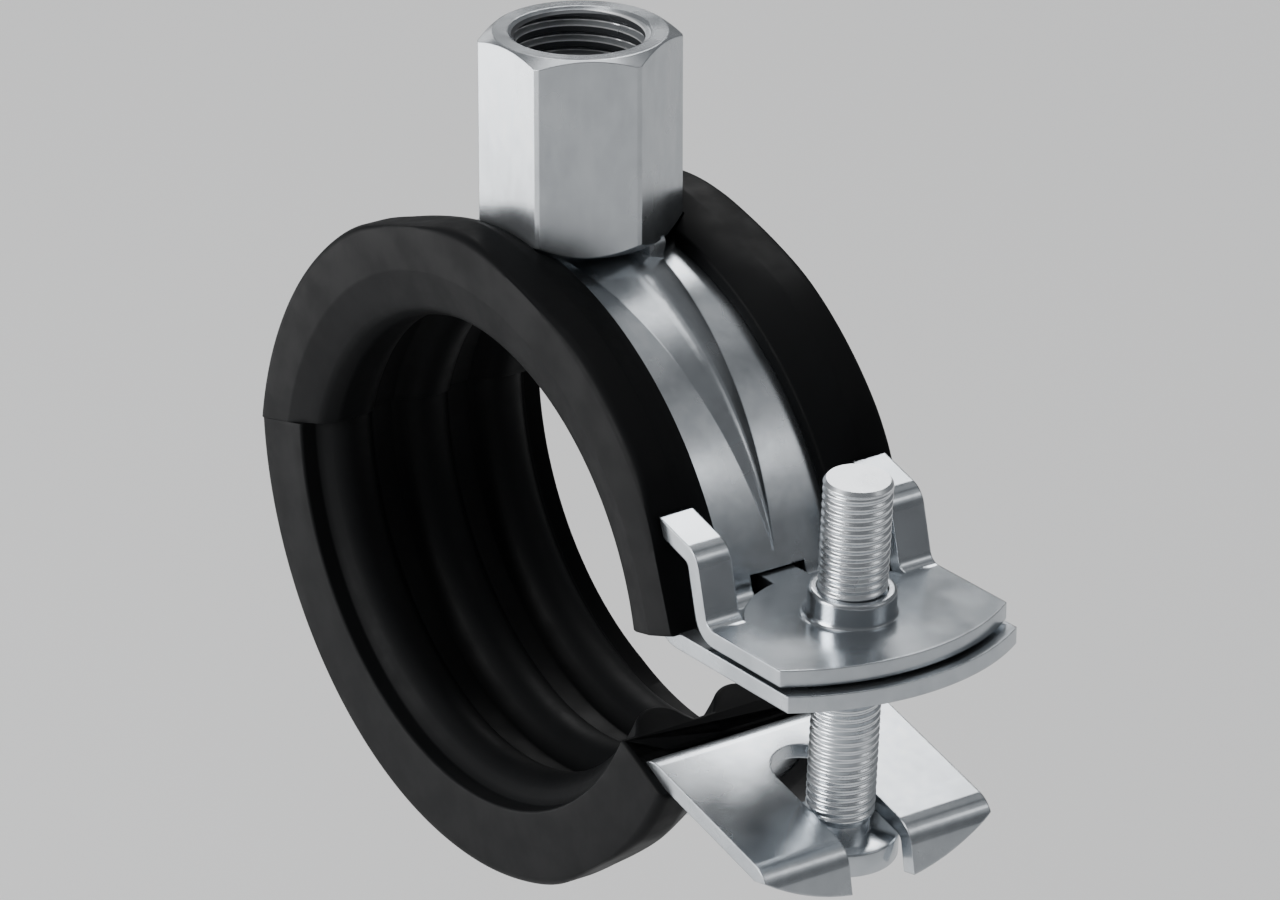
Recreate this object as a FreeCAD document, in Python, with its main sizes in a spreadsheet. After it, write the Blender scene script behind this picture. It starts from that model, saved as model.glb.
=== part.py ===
import FreeCAD, Part
import math
import os

from FreeCAD import Placement, Rotation, Vector

# Hinged two-part pipe clamp: rubber-lined steel halves, a combination nut on top,
# and a snap closure whose thread plate carries the clamping screw.
# Origin on the pipe axis, Z towards the nut, Y along the pipe, closure on the +X side.

doc = FreeCAD.newDocument("hinged_pipe_clamp")
sizes = doc.addObject("Spreadsheet::Sheet", "sizes")

DRIVING_SIZES = [
    # sheet metal
    ("sheet_gauge", 1.25, "thickness of both bands and of the thread plate"),
    ("band_width", 20.0, "width of both bands"),
    ("band_outer", 25.5, "outer radius of the bent bands"),
    ("flange_top", 6.15, "height of the closing flange above the pipe axis"),
    ("flange_bend", 1.5, "inner radius between upper band and flange"),
    ("screw_reach", 7.5, "from the outside of the band to the screw axis"),
    ("front_centre_back", 9.3, "centre of the rounded fronts of flange and plate, back from the screw"),
    ("plate_front", 17.4, "radius of the rounded plate front"),
    ("plate_setback", 0.95, "how far the plate front stays inside the flange front"),
    ("flange_slot_width", 6.4, "oblong hole for the screw in the flange"),
    ("flange_slot_length", 9.6, "oblong hole, end to end"),
    ("window_width", 4.8, "window at the foot of the upper band"),
    ("window_above", 0.2, "upper edge of that window above the thread plate"),
    ("window_back", 6.6, "where that window ends in the flange, back from the screw"),
    ("bead_height", 0.9, "stiffening bead, height under the nut"),
    ("bead_fall", 0.6, "power by which that height falls off towards the end"),
    ("bead_width", 7.8, "stiffening bead, width under the nut"),
    ("bead_crest", 1.1, "half the width of its rounded crest under the nut"),
    ("bead_end_angle", 20.0, "where the bead runs out, round the pipe axis"),
    # hinge of bent sheet
    ("hinge_angle", 168.3, "hinge axis, angle round the pipe axis"),
    ("bar_length", 2.0, "length of the hinge bar along the band"),
    ("hinge_width", 10.0, "free width of the hinge window"),
    ("hinge_window", 4.6, "hinge window, from the hinge axis into the band"),
    ("hinge_play", 0.10, "radial play of the curl on the bar"),
    ("side_play", 0.3, "play of the curl between the legs of the window"),
    ("leg_width", 3.0, "width of the legs that hold the hinge bar"),
    ("joggle_bend", 1.5, "inner radius where the lower band steps out to the curl"),
    ("curl_angle", 258.0, "how far the curl wraps the bar"),
    ("jaw_angle", 13.9, "lower half at rest, turned in from the round position"),
    # lug of the lower band
    ("lug_tilt", 28.65, "slope of the lug in the round position"),
    ("lug_offset", 4.88, "top face of the lug, distance from the pipe axis"),
    ("lug_fold", 0.8, "inner radius of the fold at the lug"),
    ("lug_ahead", 4.3, "along the lug to its hooked prongs, ahead of the screw"),
    ("prong_bend", 0.8, "inner radius of the prong bend"),
    ("prong_angle", 65.0, "how far the prongs are bent down"),
    ("prong_length", 2.4, "straight end of the prongs"),
    ("prong_radius", 18.35, "rounding of the prong ends"),
    ("slot_width", 5.5, "slot for the screw in the lug"),
    ("slot_back", 5.8, "along the lug to the closed end of the slot, back from the screw"),
    # rubber liners
    ("side_wall", 0.7, "rubber beside the edge of the band"),
    ("lip_height", 2.4, "height of the rubber lips above the band"),
    ("lip_cover", 4.9, "how far a lip reaches over the band"),
    ("lip_slope", 2.7, "width of the slope on the inner side of a lip"),
    ("lip_step", 1.1, "height of the inner edge of a lip"),
    ("lip_round", 0.7, "rounding of the outer lip edge"),
    ("rubber_floor", 2.15, "rubber below the band, between the ribs"),
    ("rib_height", 1.9, "height of the inner ribs"),
    ("rib_width", 4.5, "width of one rib"),
    ("rib_pitch", 6.9, "distance from rib to rib"),
    ("cone_start", 1.9, "above the rubber floor, where the side of the upper liner leans in"),
    ("cone_depth", 0.8, "how far that side leans in"),
    ("rubber_room", 0.35, "room in the rubber round the hinge and round the tab"),
    ("upper_end_angle", 11.0, "closure end of the upper liner, at the rib crests"),
    ("upper_slope_angle", 18.4, "slope of that end"),
    ("lower_end_angle", 41.6, "closure end of the lower liner"),
    ("seam_angle", 13.5, "slope of the seam between the liners at rest"),
    ("seam_gap", 0.3, "gap between the liners at the hinge"),
    ("seam_room_angle", 6.0, "angle left for closing between the liners"),
    ("press_start_angle", 36.0, "where the ears start to press the lips flat"),
    ("press_end_angle", 12.3, "where the pressed flat ends at the flange"),
    ("press_depth", 0.9, "how far the lips are pressed in at the flange"),
    ("nut_press_start_angle", 62.0, "where the lips start to flatten towards the nut"),
    ("nut_press_end_angle", 84.0, "where that flat ends"),
    ("lug_press_start_angle", 79.0, "where the lower lips start to flatten towards the lug"),
    ("lug_press_end_angle", 55.5, "where that flat ends"),
    # thread plate
    ("stack_gap", 0.3, "gap between flange and thread plate"),
    ("plate_inset", 0.1, "sides of the thread plate inside those of the band"),
    ("plate_back_beyond", 1.05, "radius of the round back of the plate, beyond the inner side of the ears"),
    ("plate_back_ahead", 0.9, "centre of that round back, ahead of the screw"),
    ("tab_width", 3.0, "tab that sits in the window"),
    ("tab_reach", 10.4, "inner end of the tab, back from the screw"),
    ("ear_width", 2.85, "width of one ear"),
    ("ear_back", 2.8, "bend line of the ears, back from the screw"),
    ("ear_bend", 1.0, "inner radius at the foot of an ear"),
    ("ear_lean_angle", 14.0, "ears lean in towards the ring"),
    ("ear_wall", 3.5, "straight length of the upright of an ear"),
    ("ear_tip_bend", 0.6, "inner radius at the top of an ear"),
    ("ear_tip_angle", 16.0, "slope of the ear tips"),
    ("ear_tip_length", 5.0, "length of the ear tips before trimming"),
    ("ear_gap", 0.3, "gap between ear tips and rubber lips"),
    ("collar_radius", 3.2, "drawn collar that holds the thread"),
    ("collar_height", 2.05, "height of the collar above the plate"),
    ("collar_flare", 0.45, "rounding at the foot of the collar"),
    ("collar_round", 0.3, "rounding at the top of the collar"),
    # screw
    ("screw_radius", 2.5, "screw shank"),
    ("screw_lean_angle", 3.68, "lean of the screw axis"),
    ("screw_above", 10.48, "screw length above the plate"),
    ("screw_below", 17.2, "screw length below the plate, down to the head"),
    ("head_radius", 4.3, "disc head of the screw"),
    ("head_height", 1.85, "thickness of that head"),
    ("head_edge", 0.3, "chamfer of the head"),
    ("tip_flat", 2.08, "radius of the flat free end of the screw"),
    ("tip_drop", 0.4, "height of the chamfer round that flat end"),
    ("neck_radius", 2.15, "thread run-out above the head"),
    ("neck_length", 1.2, "length of that run-out"),
    ("recess_width", 1.0, "arm of the cross recess under the head"),
    ("recess_length", 4.0, "span of the cross recess"),
    ("recess_depth", 1.1, "depth of the cross recess"),
    ("thread_play", 0.06, "radial play of the screw in the collar"),
    # combination nut
    ("nut_flats", 13.0, "width across flats"),
    ("nut_height", 15.15, "height of the nut"),
    ("nut_stand", 0.65, "height of the nut above the band, on its weld projections"),
    ("top_chamfer_angle", 30.0, "corner chamfer at the mouth"),
    ("foot_chamfer_angle", 41.0, "corner chamfer at the weld side"),
    ("nut_face", 12.7, "diameter of the flat end faces"),
    ("large_bore", 4.7, "wall radius of the large thread"),
    ("large_depth", 8.6, "depth of the large thread"),
    ("small_bore", 3.4, "wall radius of the small thread below it"),
    ("mouth_radius", 5.23, "countersunk mouth"),
    ("foot_countersink", 0.5, "countersink of the small thread at the weld side"),
    ("weld_radius", 1.25, "weld projection under the nut"),
    ("weld_circle", 5.35, "radius of the circle of weld projections"),
    ("weld_count", 3, "number of weld projections"),
    ("nut_clearance", 0.2, "clearance of the lips round the nut"),
]

for row, (alias, value, meaning) in enumerate(DRIVING_SIZES, start=1):
    sizes.set(f"A{row}", str(value))
    sizes.setAlias(f"A{row}", alias)
    sizes.set(f"B{row}", meaning)
doc.recompute()


def size(alias):
    return float(sizes.get(alias))


def polar(radius, angle, centre=(0.0, 0.0)):
    turn = math.radians(angle)
    return (centre[0] + radius * math.cos(turn), centre[1] + radius * math.sin(turn))


# Places that several pieces share
gauge = size("sheet_gauge")
half_band = size("band_width") / 2
band_mid = size("band_outer") - gauge / 2
band_inner = size("band_outer") - gauge
hinge = polar(band_mid, size("hinge_angle"))
flange_top = size("flange_top")
plate_under = flange_top + size("stack_gap")
plate_top = plate_under + gauge
screw_axis = size("band_outer") + size("screw_reach")
front_centre = screw_axis - size("front_centre_back")
ear_root = screw_axis - size("ear_back")
tab_end = screw_axis - size("tab_reach")
lug_reach = screw_axis + size("lug_ahead")
slot_start = screw_axis - size("slot_back")
lip_radius = size("band_outer") + size("lip_height")
lip_foot = half_band - size("lip_cover")
rubber_floor = band_inner - size("rubber_floor")
rib_crest = rubber_floor - size("rib_height")
half_hinge = size("hinge_width") / 2
curl_inner = math.hypot(gauge, size("bar_length")) / 2 + size("hinge_play")
curl_outer = curl_inner + gauge
FAR = 2 * lip_radius


# Outlines of bent strip: a path of straight runs and tangent bends, thickened by the gauge
class Strip:
    def __init__(self, start, heading):
        self.at = start
        self.heading = heading
        self.left = []
        self.right = []
        self.ends = [self.edge_points()]

    def edge_points(self):
        half = gauge / 2
        return (polar(half, self.heading + 90, self.at), polar(half, self.heading - 90, self.at))

    def ahead(self, length):
        before = self.edge_points()
        self.at = polar(length, self.heading, self.at)
        after = self.edge_points()
        self.left.append(line(before[0], after[0]))
        self.right.append(line(before[1], after[1]))
        return self

    def bend(self, radius, turn):
        side = 90 if turn > 0 else -90
        centre = polar(radius, self.heading + side, self.at)
        first = self.heading - side
        last = first + turn
        self.at = polar(radius, last, centre)
        self.heading += turn
        near = radius - gauge / 2
        far = radius + gauge / 2
        left, right = (near, far) if turn > 0 else (far, near)
        low, high = min(first, last), max(first, last)
        self.left.append(arc(centre, left, low, high))
        self.right.append(arc(centre, right, low, high))
        return self

    def outline(self):
        start, end = self.ends[0], self.edge_points()
        return self.left + self.right + [line(start[0], start[1]), line(end[0], end[1])]


def line(start, end):
    return Part.LineSegment(Vector(start[0], start[1], 0), Vector(end[0], end[1], 0))


def arc(centre, radius, low, high):
    circle = Part.Circle(Vector(centre[0], centre[1], 0), Vector(0, 0, 1), radius)
    return Part.ArcOfCircle(circle, math.radians(low), math.radians(high))


def arc_through(first, middle, last):
    points = [Vector(point[0], point[1], 0) for point in (first, middle, last)]
    return Part.ArcOfCircle(*points)


def circle(centre, radius):
    return Part.Circle(Vector(centre[0], centre[1], 0), Vector(0, 0, 1), radius)


def polygon(points):
    return [line(point, points[(i + 1) % len(points)]) for i, point in enumerate(points)]


# Feature helpers
def new_body(label):
    body = doc.addObject("PartDesign::Body", label)
    body.Label = label
    return body


def sketch(body, name, role, outline, offset=None):
    drawn = body.newObject("Sketcher::SketchObject", name)
    plane = [part for part in body.Origin.OriginFeatures if part.Role == role][0]
    drawn.AttachmentSupport = [(plane, "")]
    drawn.MapMode = "FlatFace"
    if offset is not None:
        drawn.AttachmentOffset = offset
    drawn.addGeometry(outline, False)
    return drawn


def grow(body, feature, adds):
    before = 0.0 if body.Shape.isNull() else body.Shape.Volume
    doc.recompute()
    after = body.Shape.Volume
    changed = after > before if adds else after < before
    if not changed:
        raise RuntimeError(f"{feature.Name} left {body.Label} as it was")
    return feature


def pad(body, drawn, length, symmetric=False, reverse=False):
    feature = body.newObject("PartDesign::Pad", drawn.Name + "_pad")
    feature.Profile = drawn
    feature.SideType = "Symmetric" if symmetric else "One side"
    feature.Reversed = reverse
    feature.setExpression("Length", length)
    return grow(body, feature, True)


def pocket(body, drawn, length=None, symmetric=False, reverse=False):
    feature = body.newObject("PartDesign::Pocket", drawn.Name + "_cut")
    feature.Profile = drawn
    feature.SideType = "Symmetric" if symmetric else "One side"
    feature.Reversed = reverse
    if length is None:
        feature.Type = "ThroughAll"
    else:
        feature.setExpression("Length", length)
    return grow(body, feature, False)


def turned(body, drawn, kind, axis="V_Axis"):
    feature = body.newObject(kind, drawn.Name + "_turned")
    feature.Profile = drawn
    feature.ReferenceAxis = (drawn, [axis])
    feature.Angle = 360
    return grow(body, feature, kind == "PartDesign::Revolution")


def jaw_place():
    """Turn from the round position to the rest position, about the hinge axis."""
    turn = Rotation(Vector(0, -1, 0), size("jaw_angle"))
    return Placement(Vector(0, 0, 0), turn, Vector(hinge[0], 0, hinge[1]))


# Upper band: flange, bend, half ring and hinge bar from one strip
def upper_band():
    body = new_body("upper_band")
    mid_bend = size("flange_bend") + gauge / 2
    bend_height = flange_top + size("flange_bend")
    bend_x = math.sqrt((size("band_outer") + size("flange_bend")) ** 2 - bend_height ** 2)
    foot_angle = math.degrees(math.atan2(bend_height, bend_x))
    bar_angle = math.degrees(size("bar_length") / 2 / band_mid)
    front = front_centre + size("plate_front") + size("plate_setback")
    strip = Strip((front, flange_top - gauge / 2), 180)
    strip.ahead(front - bend_x)
    strip.bend(mid_bend, foot_angle - 90)
    strip.bend(band_mid, size("hinge_angle") + bar_angle - foot_angle)
    pad(body, sketch(body, "upper_strip", "XZ_Plane", strip.outline()), "sizes.band_width", True)

    # rounded front of the flange
    front_radius = size("plate_front") + size("plate_setback")
    centre = (front_centre, 0)
    side = half_band + 1
    start = math.degrees(math.asin(side / front_radius))
    low, high = polar(front_radius, -start, centre), polar(front_radius, start, centre)
    outside = [arc(centre, front_radius, -start, start), line(high, (FAR, side)),
               line((FAR, side), (FAR, -side)), line((FAR, -side), low)]
    pocket(body, sketch(body, "flange_front", "XY_Plane", outside), None, True)

    # oblong hole for the screw, long enough for it to swing out
    radius = size("flange_slot_width") / 2
    reach = size("flange_slot_length") / 2 - radius
    middle = screw_axis
    hole = [arc((middle + reach, 0), radius, -90, 90), arc((middle - reach, 0), radius, 90, 270),
            line((middle + reach, radius), (middle - reach, radius)),
            line((middle - reach, -radius), (middle + reach, -radius))]
    pocket(body, sketch(body, "flange_hole", "XY_Plane", hole), None, True)

    # window through the bend, where the tab of the thread plate sits
    low_z = flange_top - gauge - 1
    foot = screw_axis - size("window_back")
    head = plate_top + size("window_above")
    window = polygon([(band_inner - 3, low_z), (foot, low_z), (foot, head), (band_inner - 3, head)])
    pocket(body, sketch(body, "window", "XZ_Plane", window), "sizes.window_width", True)

    # hinge window beside the bar, then the sides cut back to the legs
    bar_half = size("bar_length") / 2
    pocket(body, sketch(body, "hinge_window", "XZ_Plane", ring_piece(bar_half, size("hinge_window"))),
           "sizes.hinge_width", True)
    leg_outer = half_hinge + size("leg_width")
    if leg_outer < half_band:
        trim = []
        for side in (1, -1):
            trim += polygon([(side * leg_outer, -1), (side * (half_band + 1), -1),
                             (side * (half_band + 1), hinge[1] + size("hinge_window")),
                             (side * leg_outer, hinge[1] + size("hinge_window"))])
        pocket(body, sketch(body, "leg_sides", "YZ_Plane", trim), "2*sizes.band_outer", False, False)

    bead(body)
    return body


def ring_piece(near, far):
    """Part of the band's ring, from near to far along the band above the hinge axis."""
    low = size("hinge_angle") - math.degrees(far / band_mid)
    high = size("hinge_angle") - math.degrees(near / band_mid)
    inner, outer = band_inner - 1, size("band_outer") + 1
    return [arc((0, 0), inner, low, high), arc((0, 0), outer, low, high),
            line(polar(inner, low), polar(outer, low)), line(polar(inner, high), polar(outer, high))]


# Stiffening bead, pressed outwards, widest under the nut and running out to both sides
def bead(body):
    below = band_inner - gauge / 2
    ridge = bead_loft(body, "bead", "PartDesign::AdditiveLoft", band_mid, size("band_outer"), 1.0)
    groove = bead_loft(body, "groove", "PartDesign::SubtractiveLoft", below, band_inner, 0.8)
    mirror = body.newObject("PartDesign::Mirrored", "bead_mirrored")
    mirror.Originals = [ridge, groove]
    plane = [part for part in body.Origin.OriginFeatures if part.Role == "YZ_Plane"][0]
    mirror.MirrorPlane = (plane, [""])
    body.Tip = mirror
    doc.recompute()


def bead_loft(body, name, kind, root, surface, width_share):
    """Sections of the bead from the nut down to its end; the groove inside repeats its height."""
    sections = []
    top = 90.0
    end = size("bead_end_angle")
    for step in range(5):
        angle = top - step * (top - end - 1) / 4
        share = (angle - end) / (top - end)
        foot = size("bead_width") / 2 * share * width_share
        near = size("bead_crest") * share * width_share
        rise = size("bead_height") * share ** size("bead_fall")
        slope = rise / (foot - near / 2)
        half = foot + (surface - root) / slope
        crest = surface + rise
        shoulder = crest - slope * near / 2
        right, left = (near, shoulder), (-near, shoulder)
        outline = [line((half, root), right), arc_through(right, (0, crest), left),
                   line(left, (-half, root)), line((-half, root), (half, root))]
        turn = Placement(Vector(0, 0, 0), Rotation(Vector(1, 0, 0), top - angle))
        sections.append(sketch(body, f"{name}_section_{step}", "YZ_Plane", outline, turn))
    loft = body.newObject(kind, name)
    loft.Profile = sections[0]
    loft.Sections = sections[1:]
    return grow(body, loft, kind == "PartDesign::AdditiveLoft")


# Lower band: hooked prongs, lug, fold, half ring, step and hinge curl from one strip
def lower_band():
    body = new_body("lower_band")
    down = (math.cos(math.radians(-90 - size("lug_tilt"))), math.sin(math.radians(-90 - size("lug_tilt"))))
    along = (math.cos(math.radians(-size("lug_tilt"))), math.sin(math.radians(-size("lug_tilt"))))
    fold_mid = size("lug_fold") + gauge / 2
    fold_drop = size("lug_offset") + gauge / 2 + fold_mid
    fold_along = math.sqrt((band_mid + fold_mid) ** 2 - fold_drop ** 2)
    prong_mid = size("prong_bend") + gauge / 2
    mid_drop = size("lug_offset") + gauge / 2

    def lug_point(distance, drop):
        return (along[0] * distance + down[0] * drop, along[1] * distance + down[1] * drop)

    fold = lug_point(fold_along, fold_drop)
    fold_angle = math.degrees(math.atan2(fold[1], fold[0]))
    prong_centre = lug_point(lug_reach, mid_drop + prong_mid)
    prong_heading = 180 - size("lug_tilt") - size("prong_angle")
    tip = polar(prong_mid, prong_heading - 90, prong_centre)
    tip = polar(-size("prong_length"), prong_heading, tip)

    # triangle of the three circles that carry the band into the curl
    joggle = size("joggle_bend") + gauge / 2
    curl_mid = curl_inner + gauge / 2
    to_joggle = band_mid + joggle
    from_curl = curl_mid + joggle
    lead = corner_angle(band_mid, to_joggle, from_curl)
    step = corner_angle(to_joggle, from_curl, band_mid)

    strip = Strip(tip, prong_heading)
    strip.ahead(size("prong_length"))
    strip.bend(prong_mid, size("prong_angle"))
    strip.ahead(lug_reach - fold_along)
    strip.bend(fold_mid, fold_angle - 90 - (180 - size("lug_tilt")) + 360)
    strip.bend(band_mid, -(fold_angle - (size("hinge_angle") + lead - 360)))
    strip.bend(joggle, step)
    strip.bend(curl_mid, -size("curl_angle"))
    pad(body, sketch(body, "lower_strip", "XZ_Plane", strip.outline()), "sizes.band_width", True)

    # sides of the curl cut back so that it fits the hinge window
    curl_half = half_hinge - size("side_play")
    shoulder = polar(band_mid, size("hinge_angle") + lead)[1]
    trim = []
    for side in (1, -1):
        trim += polygon([(side * curl_half, shoulder), (side * (half_band + 1), shoulder),
                         (side * (half_band + 1), hinge[1] + 2 * curl_outer),
                         (side * curl_half, hinge[1] + 2 * curl_outer)])
    pocket(body, sketch(body, "curl_sides", "YZ_Plane", trim), "3*sizes.band_outer", True)

    # slot for the screw, open between the prongs, drawn on the slope of the lug
    slope = Placement(Vector(0, 0, 0), Rotation(Vector(0, 1, 0), size("lug_tilt")))
    radius = size("slot_width") / 2
    start = slot_start + radius
    slot = [arc((start, 0), radius, 90, 270), line((start, radius), (FAR, radius)),
            line((FAR, radius), (FAR, -radius)), line((FAR, -radius), (start, -radius))]
    pocket(body, sketch(body, "lug_slot", "XY_Plane", slot, slope), "3*sizes.band_outer", True)

    # rounded ends of the prongs, drawn square to their straight part
    turn = size("lug_tilt") + size("prong_angle") - 90
    lowest, across = turned_back(tip, turn)
    square = Placement(Vector(0, 0, 0), Rotation(Vector(1, 0, 0), turn))
    square = square.multiply(Placement(Vector(0, 0, across - 2 * gauge), Rotation()))
    curve = size("prong_radius")
    centre = (0, lowest + curve)
    side = half_band + 1
    reach = math.degrees(math.asin(side / curve))
    left, right = polar(curve, 270 - reach, centre), polar(curve, 270 + reach, centre)
    below = lowest - 5
    ends = [arc(centre, curve, 270 - reach, 270 + reach), line(right, (side, below)),
            line((side, below), (-side, below)), line((-side, below), left)]
    pocket(body, sketch(body, "prong_ends", "YZ_Plane", ends, square), "3*sizes.band_outer", False, True)
    body.Placement = jaw_place()
    return body


def corner_angle(first, second, opposite):
    """Angle between two sides of a triangle, from its three lengths."""
    return math.degrees(math.acos((first ** 2 + second ** 2 - opposite ** 2) / (2 * first * second)))


def turned_back(point, angle):
    """A point of the lower band along the straight part of the prongs, and across it."""
    turn = math.radians(angle)
    height = point[0] * math.sin(turn) + point[1] * math.cos(turn)
    across = point[0] * math.cos(turn) - point[1] * math.sin(turn)
    return height, across


# Rubber section: a channel that wraps the band, with lips outside and three ribs inside
def liner_section(side_wall):
    half = half_band + size("side_wall")
    step = size("band_outer") + size("lip_step")
    lip = lip_radius
    lip_flat = lip_foot + size("lip_slope")
    edge = size("lip_round")
    sag = edge * (1 - math.sqrt(0.5))
    floor = rubber_floor
    crest = rib_crest
    half_rib = size("rib_width") / 2
    pitch = size("rib_pitch")
    drawn = []
    for side in (1, -1):
        foot = side * lip_foot
        wall = side * half
        channel = side * half_band
        drawn += [line((0, band_inner), (channel, band_inner)),
                  line((channel, band_inner), (channel, size("band_outer"))),
                  line((channel, size("band_outer")), (foot, size("band_outer"))),
                  line((foot, size("band_outer")), (foot, step)),
                  line((foot, step), (side * lip_flat, lip)),
                  line((side * lip_flat, lip), (wall - side * edge, lip)),
                  arc_through((wall - side * edge, lip), (wall - side * sag, lip - sag), (wall, lip - edge))]
        drawn += side_wall(side, wall, lip - edge, floor, crest)
        inner_rib = side * (pitch - half_rib)
        flank = (side * half_rib * 0.72, floor - 0.7 * size("rib_height"))
        drawn += [line((inner_rib, floor), (side * half_rib, floor)),
                  arc_through((side * half_rib, floor), flank, (0, crest))]
    return drawn


def upper_side(side, wall, top, floor, crest):
    """The side leans in and runs straight into the outer rib."""
    pitch = size("rib_pitch")
    half_rib = size("rib_width") / 2
    corner = (side * (pitch + half_rib * 0.75), crest)
    lean = (wall - side * size("cone_depth"), crest + size("rib_height") / 4)
    start = floor + size("cone_start")
    inner_rib = (side * (pitch - half_rib), floor)
    shoulder = (side * (pitch - half_rib * 0.3), crest)
    flank = (side * (pitch - half_rib * 0.85), floor - size("rib_height") * 0.55)
    return [line((wall, top), (wall, start)), line((wall, start), lean),
            line(lean, corner), line(corner, shoulder), arc_through(shoulder, flank, inner_rib)]


def lower_side(side, wall, top, floor, crest):
    """A square side wall, a narrow ledge and then the outer rib."""
    pitch = size("rib_pitch")
    half_rib = size("rib_width") / 2
    outer_rib = (side * (pitch + half_rib), floor)
    inner_rib = (side * (pitch - half_rib), floor)
    return [line((wall, top), (wall, floor)), line((wall, floor), outer_rib),
            arc_through(outer_rib, (side * pitch, crest), inner_rib)]


def sector(body, name, points):
    """Keep only what lies inside a polygon round the pipe axis."""
    far = 2 * lip_radius
    outside = polygon([(-far, -far), (far, -far), (far, far), (-far, far)]) + polygon(points)
    pocket(body, sketch(body, name, "XZ_Plane", outside), None, True)


def press(body, name, start, finish):
    """Flatten the lips beyond the straight line from start to finish, clockwise round the clamp."""
    run = math.degrees(math.atan2(finish[1] - start[1], finish[0] - start[0]))
    start = polar(-1, run, start)
    finish = polar(2, run, finish)
    flat = polygon([start, finish, polar(5, run + 90, finish), polar(5, run + 90, start)])
    pocket(body, sketch(body, name, "XZ_Plane", flat), None, True)


def ear_flat():
    """Both ends of the flat that the ears press into the lips."""
    depth = lip_radius - size("press_depth")
    return polar(lip_radius, size("press_start_angle")), polar(depth, size("press_end_angle"))


def seam_point(distance, tilt):
    return polar(distance, tilt, hinge)


def hinge_room(body, name, radius, width):
    pocket(body, sketch(body, name, "XZ_Plane", [circle(hinge, radius)]), width, True)


def upper_liner(band):
    body = new_body("upper_liner_section")
    turned(body, sketch(body, "upper_rubber", "YZ_Plane", liner_section(upper_side)),
           "PartDesign::Revolution", "H_Axis")
    reach = 1.7 * lip_radius
    end = size("upper_end_angle")
    seam_up = size("seam_gap")
    seam = size("seam_angle") + size("seam_room_angle")
    raised = (hinge[0], hinge[1] + seam_up)
    crest = polar(rib_crest, end)
    slope = size("upper_slope_angle")
    sector(body, "upper_span", [polar(-reach / 2, slope, crest), polar(reach / 2, slope, crest),
                                polar(reach, 60), polar(reach, 120),
                                polar(-reach / 2, size("seam_angle"), raised), raised,
                                polar(reach / 3, seam, raised)])
    curl_room = curl_outer + size("rubber_room")
    hinge_room(body, "curl_room_upper", curl_room, "sizes.hinge_width + sizes.rubber_room")

    # lips pressed flat by the ears of the thread plate, and beside the nut
    first = size("nut_press_start_angle")
    last = size("nut_press_end_angle")
    press(body, "ear_flats", *ear_flat())
    press(body, "nut_flats_front", polar(lip_radius, last), polar(lip_radius, first))
    press(body, "nut_flats_back", polar(lip_radius, 180 - first), polar(lip_radius, 180 - last))

    # room for the nut and for the tab of the thread plate
    room = size("nut_flats") / 2 + size("nut_clearance")
    base = polygon([polar(room / math.cos(math.pi / 6), 60 * corner) for corner in range(6)])
    lift = Placement(Vector(0, 0, band_mid), Rotation())
    pocket(body, sketch(body, "nut_room", "XY_Plane", base, lift), "sizes.nut_height", False, True)
    room = size("rubber_room")
    tab = polygon([(tab_end - room, plate_under - room), (FAR, plate_under - room),
                   (FAR, plate_top + room), (tab_end - room, plate_top + room)])
    pocket(body, sketch(body, "tab_room", "XZ_Plane", tab), "sizes.tab_width + 2*sizes.rubber_room", True)
    return fitted("upper_liner", body, band)


def lower_liner(band):
    body = new_body("lower_liner_section")
    turned(body, sketch(body, "lower_rubber", "YZ_Plane", liner_section(lower_side)),
           "PartDesign::Revolution", "H_Axis")
    reach = 1.7 * lip_radius
    end = -size("lower_end_angle")
    seam = size("seam_angle") - size("jaw_angle")
    sector(body, "lower_span", [(0, 0), seam_point(reach / 3, seam), hinge, seam_point(-reach / 2, seam),
                                polar(reach, 200), polar(reach, 240), polar(reach, 280), polar(reach, end)])
    first = size("lug_press_end_angle")
    last = size("lug_press_start_angle")
    press(body, "lug_flats", polar(lip_radius, -first), polar(lip_radius, -last))
    curl_room = curl_outer + size("rubber_room")
    hinge_room(body, "curl_room_lower", curl_room, "sizes.hinge_width + sizes.rubber_room")
    leg_room = math.hypot(gauge, size("bar_length")) / 2 + size("rubber_room")
    hinge_room(body, "leg_room", leg_room, "sizes.hinge_width + 2*sizes.leg_width + 2*sizes.rubber_room")
    body.Placement = jaw_place()
    return fitted("lower_liner", body, band)


def fitted(label, rubber, band):
    """The rubber follows the band that it wraps."""
    cut = doc.addObject("Part::Cut", label)
    cut.Label = label
    cut.Base = rubber
    cut.Tool = band
    doc.recompute()
    return cut


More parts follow.
